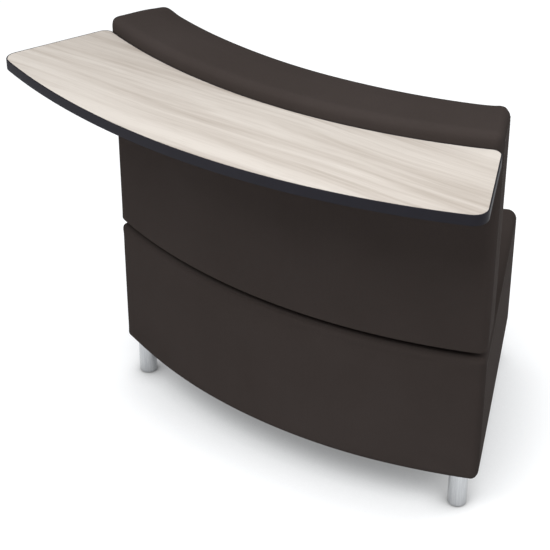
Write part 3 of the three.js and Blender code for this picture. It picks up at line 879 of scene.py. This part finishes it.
# %% Pads and threaded stems
PAD_R = 0.021
PAD_TOP = 0.005
STEM_R = 0.005
STEM_TOP = 0.045
PITCH = 0.0015
ROOT_R = 0.0044
TURN_STEPS = 14
pad_profile = (
    [(0.0, 0.0), (PAD_R - 0.0016, 0.0)]
    + eased_corner(PAD_R, 0.0, 0.0014)[1:]
    + [(PAD_R, PAD_TOP - 0.0016), (PAD_R - 0.0012, PAD_TOP - 0.0004), (PAD_R - 0.006, PAD_TOP)]
    + [(0.0085, PAD_TOP), (0.0085, PAD_TOP - 0.0006), (0.0, PAD_TOP - 0.0006)]
)


def threaded_stem(bottom, top):
    bm = bmesh.new()
    turns = int((top - bottom - 0.002) / PITCH) - 1
    tooth = [(ROOT_R, 0.0), (STEM_R - 0.0001, PITCH * 0.45), (ROOT_R, PITCH * 0.9)]
    verts = [bm.verts.new((r, 0.0, bottom + 0.001 + z)) for r, z in tooth]
    edges = [bm.edges.new(pair) for pair in zip(verts, verts[1:])]
    edges.append(bm.edges.new((verts[-1], verts[0])))
    tip = bm.faces.new(verts)
    bmesh.ops.spin(
        bm,
        geom=verts + edges + [tip],
        cent=(0, 0, 0),
        axis=(0, 0, 1),
        dvec=(0, 0, PITCH / TURN_STEPS),
        angle=2 * math.pi * turns,
        steps=TURN_STEPS * turns,
    )
    core = [(0.0, bottom), (0.00445, bottom), (0.00445, top - 0.001), (0.0036, top), (0.0, top)]
    turned(bm, core, 24)
    return bm


for i in (1, 2, 3, 4):
    bm = bmesh.new()
    turned(bm, pad_profile, 48)
    pad = finished(f"foot_pad_{i}", bm, nylon, body=f"foot_{i}", centre=leg_centre(i))
    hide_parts(f"levelling_foot_{i}")
    stem = threaded_stem(PAD_TOP - 0.0006, STEM_TOP)
    finished(f"foot_stem_{i}", stem, zinc, body=f"foot_{i}", centre=leg_centre(i))
print("leg radius", round(LEG_R, 4), "lower edge", round(LEG_LOW, 4))

# %% [markdown]
# ## Worktop brackets
# Three welded steel brackets carry the worktop's overhang. Each has a shelf under the worktop, a flange
# bolted through the back's cover into a post, and a gusset between them. Plate has rounded corners and a
# slightly eased arris, and the weld is a chain of overlapping beads.

# %% Plates, beads and screws
bracket_boxes = {s: [Vector(c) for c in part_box(f"worktop_bracket_{s}")] for s in ("left", "middle", "right")}
SHELF_TOP = bracket_boxes["middle"][1].z
FLANGE_FOOT = bracket_boxes["middle"][0].z
PLATE_W = bracket_boxes["middle"][1].x - bracket_boxes["middle"][0].x
NEAR = CENTRE.y - bracket_boxes["middle"][1].y
REACH = bracket_boxes["middle"][1].y - bracket_boxes["middle"][0].y
PLATE = 0.005
GUSSET = 0.006
TOE = 0.025
PLATE_CORNER = 0.010
PLATE_ARRIS = 0.0006
SCREW_ASIDE = 0.019
SHELF_SCREWS = (0.055, 0.13, 0.215)
FLANGE_SCREWS = (0.022, 0.062, 0.105)
BRACKET_ANGLES = {"left": math.radians(-14), "middle": 0.0, "right": math.radians(14)}


def plate(bm, low, high, corner_axis, corner):
    """A flat plate between two corners, its free corners rounded about corner_axis and its arrises eased."""
    size = [h - l for l, h in zip(low, high)]
    middle = [(l + h) / 2 for l, h in zip(low, high)]
    part = bmesh.new()
    bmesh.ops.create_cube(part, size=1.0)
    bmesh.ops.scale(part, vec=size, verts=part.verts)
    bmesh.ops.translate(part, vec=middle, verts=part.verts)
    upright = [e for e in part.edges if abs((e.verts[0].co - e.verts[1].co)[corner_axis]) > 1e-6]
    free = [e for e in upright if corner_is_free(e, corner_axis, low, high)]
    round_edges(part, free, corner, 6)
    round_edges(part, sharp_edges(part), PLATE_ARRIS, 2)
    joined(bm, part)


def corner_is_free(edge, axis, low, high):
    """The two corners furthest from the bracket's heel are the free ones."""
    spot = (edge.verts[0].co + edge.verts[1].co) / 2
    if axis == 2:
        return abs(spot.y - low[1]) < 1e-6
    return abs(spot.z - low[2]) < 1e-6


def weld(bm, a, b):
    a, b = Vector(a), Vector(b)
    count = round((b - a).length / 0.0035)
    along = (b - a).normalized()
    turn = along.to_track_quat("Z", "Y").to_matrix().to_4x4()
    for i in range(count):
        spot = a.lerp(b, (i + 0.5) / count)
        wobble = 0.0024 + 0.0003 * math.sin(i * 2.4)
        shape = Matrix.Diagonal((wobble, wobble, 0.0028, 1))
        matrix = Matrix.Translation(spot) @ turn @ shape
        bmesh.ops.create_icosphere(bm, subdivisions=1, radius=1.0, matrix=matrix)


# %% Gusset
def gusset_plate(bm):
    part = bmesh.new()
    back, out = -NEAR - PLATE + 0.0003, -NEAR - REACH + TOE
    under = SHELF_TOP - PLATE + 0.0003
    corners = [
        (back, under),
        (back, FLANGE_FOOT + TOE),
        (back - 0.006, FLANGE_FOOT + TOE),
        (out, under - 0.006),
        (out, under),
    ]
    face = part.faces.new([part.verts.new((-GUSSET / 2, y, z)) for y, z in corners])
    thick = bmesh.ops.extrude_face_region(part, geom=[face])["geom"]
    moved = [g for g in thick if isinstance(g, bmesh.types.BMVert)]
    bmesh.ops.translate(part, vec=(GUSSET, 0, 0), verts=moved)
    bmesh.ops.recalc_face_normals(part, faces=part.faces)
    round_edges(part, sharp_edges(part, 0.3), PLATE_ARRIS, 2)
    joined(bm, part)
    for side in (-1, 1):
        x = side * (GUSSET / 2 + 0.0006)
        weld(bm, (x, back + 0.0002, under), (x, back + 0.0002, FLANGE_FOOT + TOE + 0.004))
        weld(bm, (x, back, under + 0.0002), (x, out + 0.004, under + 0.0002))


# %% Screws: a domed head with a round drive recess
def screw_head(bm, spot, direction, radius):
    part = bmesh.new()
    shares = ((0.0, 0.14), (0.36, 0.14), (0.42, 0.52), (0.66, 0.46), (0.88, 0.30), (1.0, 0.10))
    dome = [(radius * out, radius * up) for out, up in shares]
    dome += [(radius, -0.0008), (0.0, -0.0008)]
    turned(part, dome, 20)
    turn = Vector(direction).to_track_quat("Z", "Y").to_matrix().to_4x4()
    bmesh.ops.transform(part, matrix=Matrix.Translation(spot) @ turn, verts=part.verts)
    joined(bm, part)


for name, angle in BRACKET_ANGLES.items():
    bm = bmesh.new()
    half = PLATE_W / 2
    plate(bm, (-half, -NEAR - REACH, SHELF_TOP - PLATE), (half, -NEAR, SHELF_TOP), 2, PLATE_CORNER)
    flange_top = SHELF_TOP - PLATE + 0.0004
    plate(bm, (-half, -NEAR - PLATE, FLANGE_FOOT), (half, -NEAR, flange_top), 1, PLATE_CORNER)
    gusset_plate(bm)
    bmesh.ops.rotate(bm, cent=(0, 0, 0), matrix=Matrix.Rotation(angle, 3, "Z"), verts=bm.verts)
    bracket = finished(f"bracket_{name}", bm, powder)
    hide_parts(f"worktop_bracket_{name}")
    screws = bmesh.new()
    for x in (-SCREW_ASIDE, SCREW_ASIDE):
        for y in SHELF_SCREWS:
            screw_head(screws, Vector((x, -NEAR - y, SHELF_TOP - PLATE)), (0, 0, -1), 0.0045)
        for z in FLANGE_SCREWS:
            screw_head(screws, Vector((x, -NEAR - PLATE, FLANGE_FOOT + z)), (0, -1, 0), 0.0062)
    bmesh.ops.rotate(screws, cent=(0, 0, 0), matrix=Matrix.Rotation(angle, 3, "Z"), verts=screws.verts)
    finished(f"bracket_screws_{name}", screws, zinc)

# %% [markdown]
# ## Under the bench
# The covers are turned in under the plywood, and a black non-woven cloth is stapled over the raw edges.
# It is cut flat and pulled tight, and hangs a few millimetres between its staples.

# %% Dust cloth
CLOTH_IN = 0.030
CLOTH_TOP = base_low.z - 0.0001
CLOTH_T = 0.0005
cloth_inner, cloth_outer = SEAT_R + CLOTH_IN, FACE_R - CLOTH_IN
cloth_half = HALF_ANGLE - CLOTH_IN / ((cloth_inner + cloth_outer) / 2) * 1.25


def spun_line(inner, outer, half_angle, cuts, steps, z):
    bm = bmesh.new()
    start = -math.pi / 2 - half_angle
    direction = Vector((math.cos(start), math.sin(start), 0))
    verts = [bm.verts.new(direction * r + Vector((0, 0, z))) for r in (inner, outer)]
    line = bm.edges.new(verts)
    bmesh.ops.subdivide_edges(bm, edges=[line], cuts=cuts)
    bmesh.ops.spin(
        bm, geom=bm.verts[:] + bm.edges[:], cent=(0, 0, 0), axis=(0, 0, 1), angle=2 * half_angle, steps=steps
    )
    return bm


cloth = spun_line(cloth_inner, cloth_outer, cloth_half, 40, 48, CLOTH_TOP)
for vert in cloth.verts:
    r = vert.co.xy.length
    a = math.atan2(vert.co.x, -vert.co.y)
    to_edge = min(r - cloth_inner, cloth_outer - r, (cloth_half - abs(a)) * r)
    sag = 0.0035 * eased(to_edge, 0.0, 0.22)
    ripple = 0.0006 * math.sin(a * r * 157) * math.exp(-to_edge / 0.05) * eased(to_edge, 0.0, 0.012)
    vert.co.z -= sag + abs(ripple)
cloth_area = sum(f.calc_area() for f in cloth.faces)
for face in cloth.faces:
    if face.normal.z > 0:
        face.normal_flip()
bmesh.ops.solidify(cloth, geom=cloth.faces[:], thickness=CLOTH_T)
bmesh.ops.recalc_face_normals(cloth, faces=cloth.faces)
dust_cloth = finished("dust_cloth", cloth, non_woven, sharp=None)
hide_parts("dust_cover")

# %% Staples
STAPLE_PITCH = 0.042
staples = bmesh.new()


def staple(place, angle):
    part = bmesh.new()
    bmesh.ops.create_cube(part, size=1.0)
    bmesh.ops.scale(part, vec=(0.0105, 0.0012, 0.0008), verts=part.verts)
    round_edges(part, part.edges[:], 0.0003, 1)
    bmesh.ops.rotate(part, cent=(0, 0, 0), matrix=Matrix.Rotation(angle, 3, "Z"), verts=part.verts)
    bmesh.ops.translate(part, vec=place, verts=part.verts)
    joined(staples, part)


staple_z = CLOTH_TOP - CLOTH_T - 0.0002
for r in (cloth_inner + 0.008, cloth_outer - 0.008):
    count = round(2 * (cloth_half * r - 0.06) / STAPLE_PITCH)
    for i in range(count + 1):
        a = (cloth_half - 0.06 / r) * (2 * i / count - 1)
        staple(Vector((r * math.sin(a), -r * math.cos(a), staple_z)), a)
for _, side in SIDES:
    count = round((cloth_outer - cloth_inner - 0.14) / STAPLE_PITCH)
    for i in range(count + 1):
        r = cloth_inner + 0.07 + (cloth_outer - cloth_inner - 0.14) * i / count
        a = side * (cloth_half - 0.008 / r)
        staple(Vector((r * math.sin(a), -r * math.cos(a), staple_z)), a + math.pi / 2)
staple_row = finished("dust_cloth_staples", staples, zinc)
print("staple faces", len(staple_row.data.polygons))

# %% [markdown]
# ## Finishes for the parts that keep their measured shape
# The plywood box, the worktop's core and the fixings are right as they are, and only need a finish.

# %% Dress the frame's own parts
FLAT_BOARDS = ("base_floor_panel", "seat_panel", "back_plinth", "back_bottom_rail", "back_top_rail")


def own_finish(name):
    if name in FLAT_BOARDS:
        return flat_ply
    if name == "worktop_core":
        return chipboard
    if name.startswith(("leg_plug", "leg_tee_nut", "back_bolt", "back_nut")):
        return zinc
    return upright_ply


for name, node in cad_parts.items():
    if node.hide_render:
        continue
    node.data.materials.clear()
    node.data.materials.append(own_finish(name))

# %% [markdown]
# ## Room, light and camera
# A plain white floor runs out of sight under a white sky. For the camera and for reflections its colour
# is darker and it glows, which is painted light, and ambient occlusion dims that glow near the unit as
# painted shade, so it stays white but darkens in the corners under the base. One broad soft light hangs
# above the customer's side. Weaker ones fill the right end, the left of the front, and the back. The camera
# looks down over the worktop from the customer's side.

# %% Floor
FLOOR_CLEARANCE = 0.0006
floor_bm = bmesh.new()
bmesh.ops.create_grid(floor_bm, x_segments=4, y_segments=4, size=30.0)
bmesh.ops.translate(floor_bm, vec=(0, 0, -FLOOR_CLEARANCE), verts=floor_bm.verts)
floor_mesh = bpy.data.meshes.new("floor")
floor_bm.to_mesh(floor_mesh)
floor_bm.free()
floor = bpy.data.objects.new("floor", floor_mesh)
scene.collection.objects.link(floor)
floor_paint, tree, shader, place = finish("floor_paint", 0.9)
mottle = use_group(tree, handling, Place=place, Size=0.8)
paths = put(tree, "ShaderNodeLightPath").outputs
# painted light: for camera and reflection rays the floor is given a darker colour and a glow
seen = maths(tree, "MAXIMUM", paths["Is Camera Ray"], paths["Is Glossy Ray"])
paint = mixed(tree, mottle["Cloud"], (0.69, 0.69, 0.695, 1), (0.71, 0.71, 0.715, 1))
tree.links.new(mixed(tree, seen, paint, (0.34, 0.34, 0.34, 1)), shader.inputs["Base Color"])
floor_mesh.materials.append(floor_paint)
shader.inputs["Emission Color"].default_value = (0.97, 0.985, 1.0, 1)
# painted shade: ambient occlusion at two reaches dims the floor's painted glow near the unit
broad_shade = put(tree, "ShaderNodeAmbientOcclusion", {"Distance": 0.4}, samples=12).outputs["AO"]
contact_shade = put(tree, "ShaderNodeAmbientOcclusion", {"Distance": 0.07}, samples=8).outputs["AO"]
glow = maths(tree, "MULTIPLY", fitted(tree, broad_shade, 0.12, 0.85, 0.18, 0.80), seen)
glow = maths(tree, "MULTIPLY", fitted(tree, contact_shade, 0.4, 0.95, 0.35, 1.0), glow)
tree.links.new(glow, shader.inputs["Emission Strength"])

# %% Sky
SKY_KEY = (0.08, -0.40, 0.91)
world = bpy.data.worlds.new("studio_sky")
world.use_nodes = True
sky = world.node_tree
toward = put(sky, "ShaderNodeTexCoord").outputs["Generated"]
facing = put(sky, "ShaderNodeVectorMath", {0: toward, 1: SKY_KEY}, operation="DOT_PRODUCT").outputs["Value"]
brightness = fitted(sky, facing, -0.1, 0.95, 0.11, 0.62)
seen = put(sky, "ShaderNodeLightPath").outputs["Is Camera Ray"]
brightness = maths(sky, "MAXIMUM", brightness, maths(sky, "MULTIPLY", seen, 1.1))
sky.links.new(brightness, sky.nodes["Background"].inputs["Strength"])
sky.nodes["Background"].inputs["Color"].default_value = (1.0, 1.0, 1.0, 1)
scene.world = world
scene.view_settings.view_transform = "Standard"


# %% Lights
def soft_light(name, place, target, size, power):
    light = bpy.data.lights.new(name, "AREA")
    light.shape = "RECTANGLE"
    light.size, light.size_y = size
    light.energy = power
    lamp = bpy.data.objects.new(name, light)
    scene.collection.objects.link(lamp)
    lamp.visible_camera = False
    aim = (Vector(target) - Vector(place)).to_track_quat("-Z", "Y").to_matrix().to_4x4()
    lamp.matrix_world = Matrix.Translation(place) @ aim


soft_light("overhead", (0.3, -1.9, 3.7), (0, -0.1, 0.5), (2.8, 2.4), 126)
soft_light("right_side", (2.8, 0.1, 2.5), (0.3, 0, 0.7), (1.0, 1.2), 25)
soft_light("front_left", (-2.2, -3.4, 1.2), (-0.2, -0.4, 0.5), (1.6, 1.2), 24)
soft_light("behind", (2.4, 3.2, 1.9), (0, 0.2, 0.5), (2.0, 1.8), 45)

# %% Camera
EYE = Vector((2.0854, CENTRE.y - 4.4363, 2.8783))
TURN, TILT, ROLL = 0.6266, 0.5529, 0.0074
FOCAL = 110.5
SHIFT = (0.0370, -0.0487)
ahead = Vector((-math.sin(TURN) * math.cos(TILT), math.cos(TURN) * math.cos(TILT), -math.sin(TILT)))
level = Vector((math.cos(TURN), math.sin(TURN), 0))
down = ahead.cross(level)
right = math.cos(ROLL) * level + math.sin(ROLL) * down
up = math.sin(ROLL) * level - math.cos(ROLL) * down
lens = bpy.data.cameras.new("camera")
lens.sensor_width = 36.0
lens.lens = FOCAL
lens.shift_x, lens.shift_y = SHIFT
lens.clip_end = 100.0
camera = bpy.data.objects.new("camera", lens)
scene.collection.objects.link(camera)
camera.matrix_world = Matrix.Translation(EYE) @ Matrix((right, up, -ahead)).transposed().to_4x4()
scene.camera = camera
